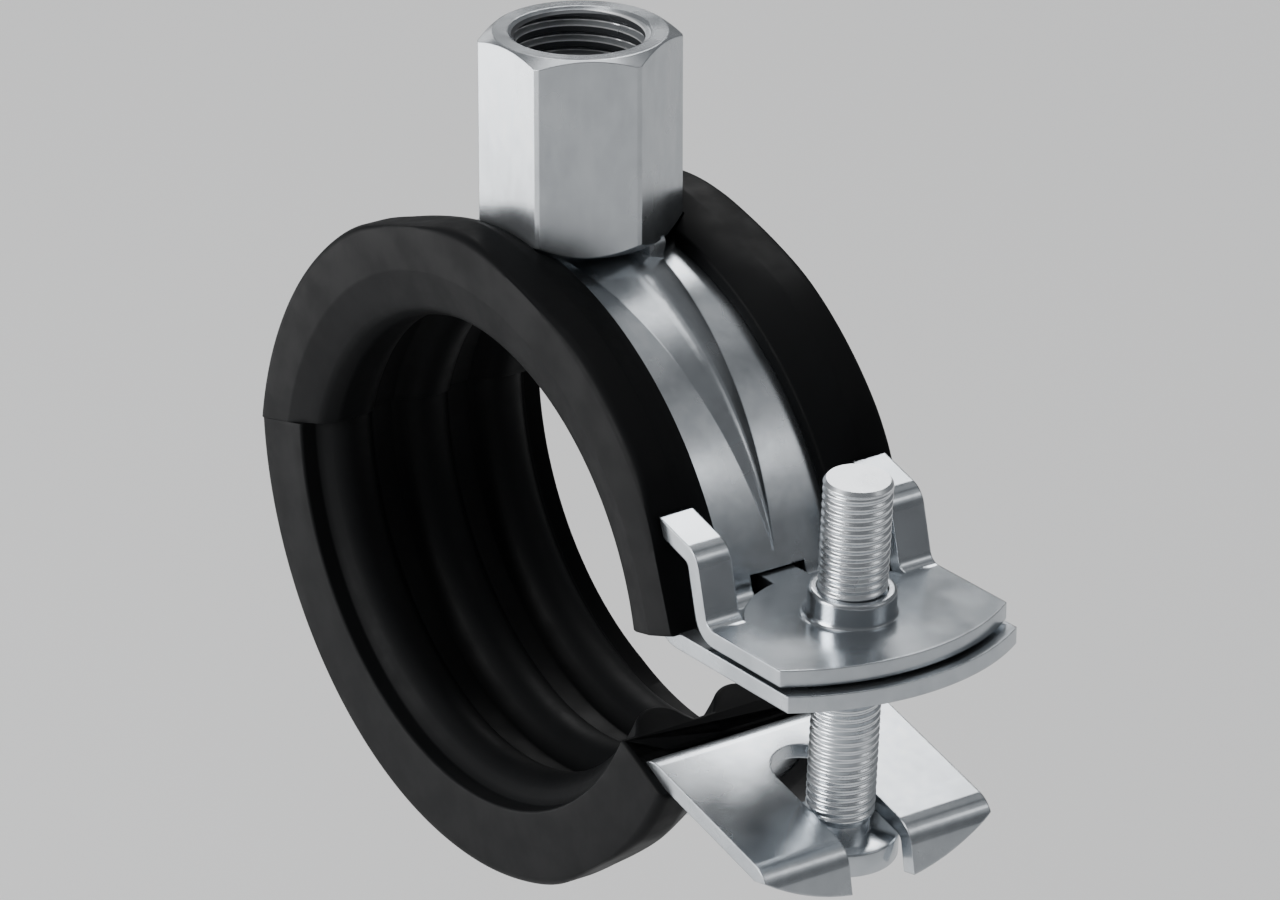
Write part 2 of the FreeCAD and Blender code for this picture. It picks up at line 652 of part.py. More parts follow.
# Thread plate: ears and plate from one sheet, with a drawn collar for the thread
def thread_plate():
    body = new_body("thread_plate")
    half = half_band - size("plate_inset")
    inner = half - size("ear_width")
    strip = Strip((ear_root + 1, plate_under + gauge / 2), 180)
    strip.ahead(1)
    strip.bend(size("ear_bend") + gauge / 2, size("ear_lean_angle") - 90)
    strip.ahead(size("ear_wall"))
    strip.bend(size("ear_tip_bend") + gauge / 2, 90 - size("ear_lean_angle") - size("ear_tip_angle"))
    strip.ahead(size("ear_tip_length"))
    bent = sketch(body, "ear_strip", "XZ_Plane", strip.outline())
    pad(body, bent, "sizes.band_width - 2*sizes.plate_inset", True)

    # free space between the two ears
    between = polygon([(0, -inner), (ear_root, -inner), (ear_root, inner), (0, inner)])
    pocket(body, sketch(body, "between_ears", "XY_Plane", between), None, True)

    # ear tips trimmed along the pressed rubber lips
    first, last = ear_flat()
    slope = math.degrees(math.atan2(first[1] - last[1], first[0] - last[0]))
    first = polar(size("ear_gap"), slope - 90, first)
    last = polar(size("ear_gap"), slope - 90, last)
    trim = polygon([polar(10, slope, first), last, (0, last[1]), (0, polar(10, slope, first)[1])])
    pocket(body, sketch(body, "ear_tips", "XZ_Plane", trim), None, True)

    # plate with rounded front, round back and the tab
    centre = (front_centre, 0)
    front = size("plate_front")
    start = math.degrees(math.asin(half / front))
    back_centre = (screw_axis + size("plate_back_ahead"), 0)
    back = inner + size("plate_back_beyond")
    half_tab = size("tab_width") / 2
    wide = math.degrees(math.asin(inner / back))
    narrow = math.degrees(math.asin(half_tab / back))
    plate = [arc(centre, front, -start, start)]
    for side in (1, -1):
        corner = polar(front, side * start, centre)
        outer_root, inner_root = (ear_root, side * half), (ear_root, side * inner)
        rim = polar(back, 180 - side * wide, back_centre)
        neck = polar(back, 180 - side * narrow, back_centre)
        plate += [line(corner, outer_root), line(outer_root, inner_root), line(inner_root, rim),
                  line(neck, (tab_end, side * half_tab))]
        low, high = (180 - wide, 180 - narrow) if side > 0 else (180 + narrow, 180 + wide)
        plate.append(arc(back_centre, back, low, high))
    plate.append(line((tab_end, half_tab), (tab_end, -half_tab)))
    level = Placement(Vector(0, 0, plate_under), Rotation())
    pad(body, sketch(body, "plate", "XY_Plane", plate, level), "sizes.sheet_gauge")

    # collar along the leaning screw axis, and its bore
    outer = size("collar_radius")
    flare = size("collar_flare")
    bore = size("screw_radius") + size("thread_play")
    height = size("collar_height")
    edge = size("collar_round")
    collar = doc.addObject("PartDesign::Body", "collar_tool")
    collar.Label = "collar_tool"
    sunk = -gauge / 2
    section = [line((bore, sunk), (outer + flare, sunk)), line((outer + flare, sunk), (outer + flare, 0)),
               arc((outer + flare, flare), flare, 180, 270), line((outer, flare), (outer, height - edge)),
               arc((outer - edge, height - edge), edge, 0, 90),
               line((outer - edge, height), (bore, height)), line((bore, height), (bore, sunk))]
    turned(collar, sketch(collar, "collar_section", "XZ_Plane", section), "PartDesign::Revolution")
    collar.Placement = screw_place()
    return joined_collar(body, collar, bore)


def joined_collar(body, collar, bore):
    drill = doc.addObject("Part::Cylinder", "thread_hole")
    drill.Radius = bore
    drill.Height = 6 * gauge
    drill.Placement = screw_place().multiply(Placement(Vector(0, 0, -3 * gauge), Rotation()))
    bored = doc.addObject("Part::Cut", "bored_plate")
    bored.Base = body
    bored.Tool = drill
    raised = doc.addObject("Part::Fuse", "thread_plate_solid")
    raised.Base = bored
    raised.Tool = collar
    raised.Refine = True
    body.Label = "thread_plate_sheet"
    raised.Label = "thread_plate"
    doc.recompute()
    return raised


def screw_place():
    """Origin on the screw axis at the top of the plate, Z up along the leaning axis."""
    lean = Rotation(Vector(0, 1, 0), size("screw_lean_angle"))
    return Placement(Vector(screw_axis, 0, plate_top), lean)


# Clamping screw: shank, run-out and a disc head with a cross recess below
def locking_screw():
    body = new_body("locking_screw")
    shank = size("screw_radius")
    top = size("screw_above")
    under = -size("screw_below")
    flat = size("tip_flat")
    drop = size("tip_drop")
    head = size("head_radius")
    edge = size("head_edge")
    bottom = under - size("head_height")
    neck = size("neck_radius")
    neck_top = under + size("neck_length")
    profile = polygon([(0, top), (flat, top), (shank, top - drop), (shank, neck_top + shank - neck),
                       (neck, neck_top), (neck, under), (head - edge, under), (head, under - edge),
                       (head, bottom + edge), (head - edge, bottom), (0, bottom)])
    turned(body, sketch(body, "screw_profile", "XZ_Plane", profile), "PartDesign::Revolution")
    arm = size("recess_width") / 2
    span = size("recess_length") / 2
    cross = polygon([(arm, arm), (span, arm), (span, -arm), (arm, -arm), (arm, -span), (-arm, -span),
                     (-arm, -arm), (-span, -arm), (-span, arm), (-arm, arm), (-arm, span), (arm, span)])
    level = Placement(Vector(0, 0, bottom), Rotation())
    pocket(body, sketch(body, "cross_recess", "XY_Plane", cross, level), "sizes.recess_depth", False, True)
    body.Placement = screw_place()
    return body


# Combination nut: long hexagon with a stepped bore, standing on weld projections
def connection_nut(band):
    body = new_body("nut_blank")
    foot = size("band_outer") + size("nut_stand")
    height = size("nut_height")
    corner = size("nut_flats") / 2 / math.cos(math.pi / 6)
    hexagon = polygon([polar(corner, 60 * side) for side in range(6)])
    level = Placement(Vector(0, 0, foot), Rotation())
    pad(body, sketch(body, "nut_hexagon", "XY_Plane", hexagon, level), "sizes.nut_height")

    # corner chamfers at both ends
    face = size("nut_face") / 2
    outside = corner + 1
    chamfers = []
    for end, inward, slope in ((foot, 1, "foot_chamfer_angle"), (foot + height, -1, "top_chamfer_angle")):
        drop = (outside - face) * math.tan(math.radians(size(slope)))
        chamfers += polygon([(face, end), (outside, end + inward * drop),
                             (outside, end - inward), (face, end - inward)])
    turned(body, sketch(body, "nut_chamfers", "XZ_Plane", chamfers), "PartDesign::Groove")

    # large thread above, small thread below, countersunk mouth
    top = foot + height
    mouth = size("mouth_radius")
    large = size("large_bore")
    small = size("small_bore")
    shoulder = top - size("large_depth")
    taper = large - small
    sink = size("foot_countersink")
    bore = polygon([(0, top), (mouth, top), (large, top - (mouth - large)), (large, shoulder),
                    (small, shoulder - taper), (small, foot + sink), (small + sink, foot), (0, foot)])
    turned(body, sketch(body, "nut_bore", "XZ_Plane", bore), "PartDesign::Groove")

    # weld projections, and the seat of the round band below them
    count = int(size("weld_count"))
    places = [polar(size("weld_circle"), 30 + 360 / count * place) for place in range(count)]
    feet = [circle(place, size("weld_radius")) for place in places]
    pad(body, sketch(body, "weld_feet", "XY_Plane", feet, level), "1.5*sizes.sheet_gauge", False, True)
    seat = [circle((0, 0), size("band_outer") - gauge / 5)]
    pocket(body, sketch(body, "band_seat", "XZ_Plane", seat), None, True)
    return fitted("connection_nut", body, band)


# Assembly
upper = upper_band()
lower = lower_band()
nut = connection_nut(upper)
nodes = [
    upper,
    lower,
    nut,
    upper_liner(upper),
    lower_liner(lower),
    thread_plate(),
    locking_screw(),
]
doc.recompute()

for item in doc.Objects:
    if "Invalid" in item.State or "Error" in item.State:
        raise RuntimeError(f"{item.Name} failed: {item.State}")
os.makedirs("parts", exist_ok=True)
for node in nodes:
    shape = node.Shape
    if shape.isNull() or not shape.isValid() or not shape.Solids:
        raise RuntimeError(f"{node.Label} has no sound solid")
    shape.exportStep(f"parts/{node.Label}.step")
    print(f"{node.Label}: {len(shape.Solids)} solid, {shape.Volume:.1f} mm3, {shape.BoundBox}")
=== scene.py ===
"""Looks of the hinged pipe clamp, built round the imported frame.

Sizes of the part are in millimetres, times MM where Blender takes them. Sizes of the studio are in metres.
"""

import math

import bmesh
import bpy
import numpy as np
from mathutils import Matrix, Vector


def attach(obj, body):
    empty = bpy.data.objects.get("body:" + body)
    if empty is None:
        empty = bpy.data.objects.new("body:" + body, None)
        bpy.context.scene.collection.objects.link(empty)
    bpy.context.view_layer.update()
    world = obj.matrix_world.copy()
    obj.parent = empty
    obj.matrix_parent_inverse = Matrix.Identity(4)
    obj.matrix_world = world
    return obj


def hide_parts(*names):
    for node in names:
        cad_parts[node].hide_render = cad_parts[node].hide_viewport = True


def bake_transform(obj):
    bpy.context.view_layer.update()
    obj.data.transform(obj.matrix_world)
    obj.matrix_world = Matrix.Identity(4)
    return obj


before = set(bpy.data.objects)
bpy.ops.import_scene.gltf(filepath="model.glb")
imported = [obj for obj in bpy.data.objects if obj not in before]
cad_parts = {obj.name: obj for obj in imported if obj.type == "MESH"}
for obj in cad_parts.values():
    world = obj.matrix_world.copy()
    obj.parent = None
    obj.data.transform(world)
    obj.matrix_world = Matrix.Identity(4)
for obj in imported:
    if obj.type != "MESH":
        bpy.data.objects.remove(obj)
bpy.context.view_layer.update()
MM = 0.001


def polar(radius, degrees):
    return np.array([radius * math.cos(math.radians(degrees)), radius * math.sin(math.radians(degrees))])


# Sizes shared with the CAD part
BAND_OUTER = 25.5
BAND_INNER = 24.25
HALF_BAND = 10.0
HINGE = polar(24.875, 168.3)
JAW_DEGREES = 13.9
SCREW_FOOT = Vector((33.0, 0.0, 7.7))
SCREW_LEAN = math.radians(3.68)
SCREW_TOP = 10.48
HEAD_TOP = -17.20
HEAD_FOOT = -19.05
HEAD_RADIUS = 4.30
NUT_FOOT = 26.15
NUT_TOP = 41.3
NUT_SHOULDER = NUT_TOP - 8.6
NUT_HALF_FLATS = 6.5

# Tapped thread of the nut, in shares of its pitch
TAP_PITCH = 1.16
TAP_CREST = 0.36
TAP_START = 0.30


# Materials
def shader(name):
    material = bpy.data.materials.new(name)
    material.use_nodes = True
    tree = material.node_tree
    return material, tree, tree.nodes["Principled BSDF"]


def noise(tree, scale, detail=4.0, roughness=0.55, stretch=(1.0, 1.0, 1.0)):
    coords = tree.nodes.new("ShaderNodeTexCoord")
    mapping = tree.nodes.new("ShaderNodeMapping")
    mapping.inputs["Scale"].default_value = stretch
    texture = tree.nodes.new("ShaderNodeTexNoise")
    texture.inputs["Scale"].default_value = scale
    texture.inputs["Detail"].default_value = detail
    texture.inputs["Roughness"].default_value = roughness
    tree.links.new(coords.outputs["Object"], mapping.inputs["Vector"])
    tree.links.new(mapping.outputs["Vector"], texture.inputs["Vector"])
    return texture.outputs["Fac"]


def ramp(tree, value, stops, interpolation="B_SPLINE"):
    node = tree.nodes.new("ShaderNodeValToRGB")
    node.color_ramp.interpolation = interpolation
    elements = node.color_ramp.elements
    while len(elements) < len(stops):
        elements.new(0.5)
    for element, (place, colour) in zip(elements, stops):
        element.position = place
        element.color = (*colour, 1.0)
    tree.links.new(value, node.inputs["Fac"])
    return node.outputs["Color"]


def remap(tree, value, low, high):
    """Spread the middle of a noise over low to high."""
    node = tree.nodes.new("ShaderNodeMapRange")
    node.interpolation_type = "SMOOTHSTEP"
    for socket, number in (("From Min", 0.3), ("From Max", 0.7), ("To Min", low), ("To Max", high)):
        node.inputs[socket].default_value = number
    tree.links.new(value, node.inputs["Value"])
    return node.outputs["Result"]


def bump(tree, value, strength, distance, under=None):
    node = tree.nodes.new("ShaderNodeBump")
    node.inputs["Strength"].default_value = strength
    node.inputs["Distance"].default_value = distance
    tree.links.new(value, node.inputs["Height"])
    if under is not None:
        tree.links.new(under, node.inputs["Normal"])
    return node.outputs["Normal"]


def grain(tree, under=None):
    """The fine grain of the plating."""
    return bump(tree, noise(tree, 3000.0, 1.0), 0.03, 0.00001, under)


def combine(tree, operation, first, second):
    """A Math node over two sockets or numbers."""
    node = tree.nodes.new("ShaderNodeMath")
    node.operation = operation
    for place, value in ((0, first), (1, second)):
        if isinstance(value, float):
            node.inputs[place].default_value = value
        else:
            tree.links.new(value, node.inputs[place])
    return node.outputs["Value"]


def zinc(name, dark, light, rough, mottle, edge, stretch=(1.0, 1.0, 1.0), metal=0.96):
    """Zinc plating: cloudy mottling, a fine grain, slightly uneven gloss, and edges broken by edge mm."""
    material, tree, principled = shader(name)
    principled.inputs["Metallic"].default_value = metal
    cloud = noise(tree, mottle, 3.0, 0.5, stretch)
    spangle = noise(tree, mottle * 4.5, 2.0, 0.6, stretch)
    mix = tree.nodes.new("ShaderNodeMix")
    mix.data_type = "FLOAT"
    mix.inputs[0].default_value = 0.42
    tree.links.new(cloud, mix.inputs[2])
    tree.links.new(spangle, mix.inputs[3])
    tree.links.new(ramp(tree, mix.outputs[0], [(0.36, dark), (0.62, light)]), principled.inputs["Base Color"])
    tree.links.new(remap(tree, cloud, *rough), principled.inputs["Roughness"])
    worn = None
    if edge > 0.0:
        broken = tree.nodes.new("ShaderNodeBevel")
        broken.samples = 6
        broken.inputs["Radius"].default_value = edge * MM
        worn = broken.outputs["Normal"]
    dents = bump(tree, cloud, 0.06, 0.00003, grain(tree, worn))
    tree.links.new(dents, principled.inputs["Normal"])
    return material


def tapped_zinc_with_painted_light(name):
    """Zinc in the tapped bore with light and shade painted in: painted shade on the crests and roots, and
    grey flanks between two painted highlight lines.
    """
    material, tree, principled = shader(name)
    principled.inputs["Metallic"].default_value = 0.6
    split = tree.nodes.new("ShaderNodeSeparateXYZ")
    tree.links.new(tree.nodes.new("ShaderNodeTexCoord").outputs["Object"], split.inputs["Vector"])
    angle = combine(tree, "ARCTAN2", split.outputs["Y"], split.outputs["X"])
    turn = combine(tree, "DIVIDE", angle, 2 * math.pi)
    height = combine(tree, "DIVIDE", split.outputs["Z"], TAP_PITCH * MM)
    start = combine(tree, "ADD", combine(tree, "SUBTRACT", height, turn), TAP_START + 100.0)
    phase = combine(tree, "MODULO", start, 1.0)
    # The dark colour is painted shade in the bore, and the bright colour paints highlight lines along the
    # thread
    dark, grey, bright = (0.07, 0.074, 0.08), (0.44, 0.46, 0.48), (0.95, 0.96, 0.97)
    after_crest = [(-0.07, dark), (-0.04, bright), (0.01, bright), (0.05, grey),
                   (0.20, grey), (0.23, bright), (0.26, bright), (0.30, dark)]
    lines = [(0.0, dark)] + [(TAP_CREST + place, colour) for place, colour in after_crest] + [(1.0, dark)]
    tree.links.new(ramp(tree, phase, lines, "LINEAR"), principled.inputs["Base Color"])
    tree.links.new(remap(tree, noise(tree, 300.0), 0.26, 0.36), principled.inputs["Roughness"])
    tree.links.new(grain(tree), principled.inputs["Normal"])
    return material


def rubber(name):
    """Moulded rubber: nearly black, dull, with a faint bloom and a fine skin."""
    material, tree, principled = shader(name)
    bloom = noise(tree, 90.0, 4.0, 0.6)
    tree.links.new(ramp(tree, bloom, [(0.35, (0.0046, 0.0049, 0.0054)), (0.70, (0.0064, 0.0067, 0.0072))]),
                   principled.inputs["Base Color"])
    tree.links.new(remap(tree, noise(tree, 420.0, 3.0), 0.48, 0.58), principled.inputs["Roughness"])
    principled.inputs["Specular IOR Level"].default_value = 0.08
    skin = bump(tree, noise(tree, 2600.0, 3.0), 0.10, 0.00002)
    tree.links.new(skin, principled.inputs["Normal"])
    return material


sheet_zinc = zinc("zinc_sheet", (0.42, 0.45, 0.48), (0.56, 0.59, 0.62), (0.19, 0.29), 170.0, 0.17)
plate_zinc = zinc("zinc_plate", (0.41, 0.44, 0.47), (0.53, 0.56, 0.59), (0.18, 0.24), 170.0, 0.17)
nut_zinc = zinc("zinc_nut", (0.42, 0.445, 0.47), (0.58, 0.605, 0.63), (0.18, 0.28), 170.0, 0.12,
                stretch=(1.0, 1.0, 0.5), metal=0.90)
screw_zinc = zinc("zinc_screw", (0.64, 0.67, 0.70), (0.78, 0.81, 0.84), (0.24, 0.31), 300.0, 0.0)
bore_painted_light = tapped_zinc_with_painted_light("zinc_bore_painted_light")
liner_rubber = rubber("liner_rubber_looks")


# Pieces
def add_piece(name, mesh, material, body, replaced=(), smooth_angle=32.0):
    """A visual piece from a mesh."""
    mesh.materials.clear()
    mesh.materials.append(material)
    for face in mesh.polygons:
        face.use_smooth = True
    mesh.set_sharp_from_angle(angle=math.radians(smooth_angle))
    piece = bpy.data.objects.new(name, mesh)
    bpy.context.scene.collection.objects.link(piece)
    if body is not None:
        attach(piece, body)
    if replaced:
        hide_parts(*replaced)
    return piece


def second_material(piece, material, chosen):
    """Give another material to the faces whose centre, in mm, is chosen."""
    piece.data.materials.append(material)
    for face in piece.data.polygons:
        if chosen(face.center / MM):
            face.material_index = 1


# Mesh helpers
def clamped(value):
    return max(0.0, min(1.0, value))


def mesh_of(name, points, faces):
    mesh = bpy.data.meshes.new(name)
    mesh.from_pydata([tuple(float(v) * MM for v in point) for point in points], [], faces)
    mesh.validate()
    work = bmesh.new()
    work.from_mesh(mesh)
    bmesh.ops.recalc_face_normals(work, faces=work.faces)
    work.to_mesh(mesh)
    work.free()
    return mesh


def carved(mesh, cutters, operation="DIFFERENCE"):
    """The mesh after each cutter has been taken from it, or kept in common with it."""
    base = bpy.data.objects.new("carving", mesh)
    bpy.context.scene.collection.objects.link(base)
    tools = []
    for cutter in cutters:
        tool = bpy.data.objects.new("cutter", cutter)
        bpy.context.scene.collection.objects.link(tool)
        modifier = base.modifiers.new("carve", "BOOLEAN")
        modifier.operation = operation
        modifier.solver = "EXACT"
        modifier.object = tool
        tools.append(tool)
    bpy.context.view_layer.update()
    result = bpy.data.meshes.new_from_object(base.evaluated_get(bpy.context.evaluated_depsgraph_get()))
    for item in [base] + tools:
        bpy.data.objects.remove(item)
    return result


def prism(corners, low, high, axis="z"):
    """A straight prism over a polygon given in the plane across the axis."""
    count = len(corners)
    place = {"z": lambda a, b, c: (a, b, c), "y": lambda a, b, c: (a, c, b)}[axis]
    points = [place(a, b, low) for a, b in corners] + [place(a, b, high) for a, b in corners]
    faces = [tuple(range(count)), tuple(range(count, 2 * count))]
    faces += [(i, (i + 1) % count, count + (i + 1) % count, count + i) for i in range(count)]
    return mesh_of("prism", points, faces)


def round_corners(radius, count, centre=(0.0, 0.0)):
    return [(centre[0] + radius * math.cos(2 * math.pi * i / count),
             centre[1] + radius * math.sin(2 * math.pi * i / count)) for i in range(count)]


def add_ring(points, radius, height, steps):
    """Append a ring of points about the Z axis and return their numbers; radius 0 gives one point."""
    first = len(points)
    if radius == 0.0:
        points.append((0.0, 0.0, height))
    else:
        points += [(x, y, height) for x, y in round_corners(radius, steps)]
    return list(range(first, len(points)))


def bridge(low, high, steps):
    """Faces between two rings, of which one may be a single point."""
    faces = []
    for i in range(steps):
        j = (i + 1) % steps
        if len(low) == 1:
            faces.append((low[0], high[i], high[j]))
        elif len(high) == 1:
            faces.append((low[i], low[j], high[0]))
        else:
            faces.append((low[i], low[j], high[j], high[i]))
    return faces


def lathe(profile, steps, place=None):
    """Revolve a profile of (radius, height) round the Z axis, from the axis and back to it."""
    points, faces = [], []
    rings = [add_ring(points, radius, height, steps) for radius, height in profile]
    for low, high in zip(rings, rings[1:]):
        faces += bridge(low, high, steps)
    if place is not None:
        points = [tuple(place @ Vector(point)) for point in points]
    return mesh_of("lathe", points, faces)


def tube(rings, steps):
    """Faces between successive rings of points."""
    faces = []
    for j in range(rings - 1):
        for i in range(steps):
            k = (i + 1) % steps
            faces.append((j * steps + i, j * steps + k, (j + 1) * steps + k, (j + 1) * steps + i))
    return faces


def lids(rings, steps):
    """Faces that close a tube at its first and at its last ring."""
    return [tuple(range(steps)), tuple(range((rings - 1) * steps, rings * steps))]


def fillet(path):
    """Round the corners of an open path of (x, y, radius)."""
    result = []
    for i, (x, y, radius) in enumerate(path):
        here = np.array([x, y])
        if radius == 0.0 or i in (0, len(path) - 1):
            result.append(here)
            continue
        before = np.array(path[i - 1][:2]) - here
        after = np.array(path[i + 1][:2]) - here
        before /= np.linalg.norm(before)
        after /= np.linalg.norm(after)
        half = math.acos(max(-1.0, min(1.0, float(before @ after)))) / 2
        reach = radius / math.tan(half)
        start, end = here + before * reach, here + after * reach
        bisector = (before + after) / np.linalg.norm(before + after)
        centre = here + bisector * radius / math.sin(half)
        steps = max(2, int(math.degrees(math.pi - 2 * half) / 18))
        first = math.atan2(*(start - centre)[::-1])
        turn = math.atan2(*(end - centre)[::-1]) - first
        turn = (turn + math.pi) % (2 * math.pi) - math.pi
        for k in range(steps + 1):
            angle = first + turn * k / steps
            result.append(centre + radius * np.array([math.cos(angle), math.sin(angle)]))
    return result


def densify(points, longest):
    result = []
    for start, end in zip(points, points[1:]):
        pieces = max(1, int(math.ceil(np.linalg.norm(end - start) / longest)))
        result += [start + (end - start) * k / pieces for k in range(pieces)]
    return result + [points[-1]]


# Rubber liners: one section swept round the pipe axis, its lips bent flat where something presses on them
RIB_CREST = 20.2
RIB_HALF = 2.25
SIDE_RIB = 6.9
VALLEY = 22.1
LINER_HALF = 10.7
LIP_TOP = 27.9
LIP_EDGE = 5.1
PLAY = 0.02
LINER_MIDDLE = 24.0
SEAM_TILT = 13.5
SEAM_SOFT, END_SOFT = 0.02, 0.30
END_SHARES = (0.0, 0.12, 0.34, 0.62, 1.0)
LONG_ROWS = 152
LONGEST_EDGE = 1.3
LIP_PRESS = 0.22


def rib(centre, first, last, steps):
    """Round back of a rib, as (offset, radius, 0), between two shares of its half width."""
    height = VALLEY - RIB_CREST
    curve = (RIB_HALF * RIB_HALF + height * height) / (2 * height)
    points = []
    for k in range(steps + 1):
        offset = RIB_HALF * (first + (last - first) * k / steps)
        points.append((centre + offset, RIB_CREST + curve - math.sqrt(curve * curve - offset * offset), 0.0))
    return points


def half_section(upper):
    """Right half of the section, from the middle rib round the lip to the inside of the band."""
    inner = rib(0.0, 0.0, 0.93, 8)
    inner += [(RIB_HALF + 0.3, VALLEY, 0.25), (SIDE_RIB - RIB_HALF - 0.3, VALLEY, 0.25)]
    if upper:
        inner += rib(SIDE_RIB, -0.93, 0.0, 8)
        inner += [(8.7, RIB_CREST + 0.02, 0.9), (9.95, 20.95, 0.9), (LINER_HALF, LINER_MIDDLE, 1.2)]
    else:
        inner += rib(SIDE_RIB, -0.93, 0.93, 14)
        inner += [(SIDE_RIB + RIB_HALF + 0.25, VALLEY, 0.2), (LINER_HALF, VALLEY, 0.25)]
    outer = [(LINER_HALF, LIP_TOP, 0.75), (8.0, LIP_TOP, 0.8), (LIP_EDGE, 26.6, 0.35),
             (LIP_EDGE, BAND_OUTER + PLAY, 0.12), (HALF_BAND + PLAY, BAND_OUTER + PLAY, 0.0),
             (HALF_BAND + PLAY, BAND_INNER - PLAY, 0.0), (0.0, BAND_INNER - PLAY, 0.0)]
    return densify(fillet(inner + outer), LONGEST_EDGE)


def whole_section(upper):
    right = half_section(upper)
    left = [np.array([-y, r]) for y, r in right[-2:0:-1]]
    return np.array(right + left)


def inward_normals(section):
    ahead = np.roll(section, -1, axis=0) - section
    behind = section - np.roll(section, 1, axis=0)
    tangent = (ahead / np.linalg.norm(ahead, axis=1)[:, None]
               + behind / np.linalg.norm(behind, axis=1)[:, None])
    tangent /= np.maximum(np.linalg.norm(tangent, axis=1), 1e-9)[:, None]
    normal = np.stack([-tangent[:, 1], tangent[:, 0]], axis=1)
    y, r = section[:, 0], section[:, 1]
    area = np.sum(y * np.roll(r, -1) - np.roll(y, -1) * r)
    return normal if area > 0 else -normal


def on_circle(radius, point, slope, left):
    """Angle at which the line through a point, with a slope in degrees, meets a circle about the axis."""
    direction = np.array([math.cos(math.radians(slope)), math.sin(math.radians(slope))])
    point = np.asarray(point, float)
    along = point @ direction
    reach = math.sqrt(max(0.0, along * along - point @ point + radius * radius))
    hit = point + direction * (-along + (-reach if left else reach))
    return math.atan2(hit[1], hit[0])


def flats_limit(flats, angle):
    """Largest radius left by the straight flats at an angle."""
    limit = 99.0
    for start, end in flats:
        run = end - start
        normal = np.array([run[1], -run[0]]) / np.linalg.norm(run)
        if normal @ start < 0:
            normal = -normal
        facing = math.cos(angle) * normal[0] + math.sin(angle) * normal[1]
        if facing > 0.3:
            limit = min(limit, (normal @ start) / facing)
    return limit


def far_wall(y, radius, degrees):
    """The far wall of the lower liner stands a little proud towards the pipe, less so at the lug."""
    inner_side, outer_end = 9.0, 23.0
    if y < inner_side or radius > outer_end:
        return 0.0
    along = clamped((-100.0 - degrees) / 25.0)
    return 0.75 * along * clamped((y - inner_side) / 1.2) * clamped((outer_end - radius) / 0.9)


def liner(upper, start_angle, end_angle, flats):
    """Sweep the section from start_angle(radius) to end_angle(radius), with softly rounded ends."""
    section = whole_section(upper)
    normals = inward_normals(section)
    count = len(section)
    length = abs(end_angle(LINER_MIDDLE) - start_angle(LINER_MIDDLE)) * LINER_MIDDLE
    places = [(SEAM_SOFT * share, SEAM_SOFT * (1 - share)) for share in END_SHARES]
    places += [(place, 0.0) for place in np.linspace(SEAM_SOFT, length - END_SOFT, LONG_ROWS)[1:-1]]
    places += [(length - END_SOFT * share, END_SOFT * (1 - share)) for share in reversed(END_SHARES)]
    points = []
    for number, (place, depth) in enumerate(places):
        soft = SEAM_SOFT if number < len(places) / 2 else END_SOFT
        ring = section + normals * (soft - math.sqrt(soft * soft - depth * depth)) * 0.9
        for y, r in ring:
            first, last = start_angle(r), end_angle(r)
            angle = first + (last - first) * (place / length)
            over = r - flats_limit(flats, angle)
            if r > BAND_OUTER + 0.3 and over > -1.5:
                r -= LIP_PRESS * math.log1p(math.exp(over / LIP_PRESS))
            if not upper:
                r -= far_wall(y, r, math.degrees(angle))
            points.append((r * math.cos(angle), y, r * math.sin(angle)))
    return mesh_of("liner", points, tube(len(places), count) + lids(len(places), count))


raised_hinge = HINGE + np.array([0.0, 0.01])
upper_end = polar(RIB_CREST, 11.0)


def upper_seam(radius):
    return on_circle(radius, raised_hinge, SEAM_TILT, True)


def upper_finish(radius):
    return on_circle(radius, upper_end, 18.4, False)


def lower_seam(radius):
    angle = on_circle(radius, HINGE, SEAM_TILT - JAW_DEGREES, True)
    return angle - 2 * math.pi if angle > 0 else angle


def lower_finish(radius):
    return math.radians(-41.6)


# Flats of the lips: under the ears, on both sides of the nut, and below beside the lug
upper_flats = [(polar(LIP_TOP, 36.0), polar(27.0, 12.3)), (polar(LIP_TOP, 84.0), polar(LIP_TOP, 62.0)),
               (polar(LIP_TOP, 118.0), polar(LIP_TOP, 96.0))]
lower_flats = [(polar(LIP_TOP, -55.5), polar(LIP_TOP, -79.0))]

# Room for the curl of the hinge, its bar, the nut and the tab
curl_room = prism(round_corners(2.62, 48, tuple(HINGE)), -5.2, 5.2, "y")
bar_room = prism(round_corners(1.5, 32, tuple(HINGE)), -8.4, 8.4, "y")
nut_room = prism(round_corners(6.54 / math.cos(math.pi / 6), 6), 25.0, 34.0)
tab_room = prism([(22.1, 5.95), (29.0, 5.95), (29.0, 8.2), (22.1, 8.2)], -2.0, 2.0, "y")

upper_mesh = liner(True, upper_seam, upper_finish, upper_flats)
upper_mesh = carved(upper_mesh, [curl_room, nut_room, tab_room])
add_piece("upper_rubber", upper_mesh, liner_rubber, "upper_half", ("upper_liner",))

# The lower liner is made with the clamp closed and then opened to the pose of the photo
lower_mesh = liner(False, lower_seam, lower_finish, lower_flats)
lower_mesh = carved(lower_mesh, [curl_room, bar_room])
hinge_point = Vector((HINGE[0], 0.0, HINGE[1])) * MM
jaw = (Matrix.Translation(hinge_point) @ Matrix.Rotation(math.radians(JAW_DEGREES), 4, Vector((0, -1, 0)))
       @ Matrix.Translation(-hinge_point))
lower_mesh.transform(jaw)
lower_rubber = add_piece("lower_rubber", lower_mesh, liner_rubber, None, ("lower_liner",))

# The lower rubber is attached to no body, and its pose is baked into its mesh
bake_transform(lower_rubber)


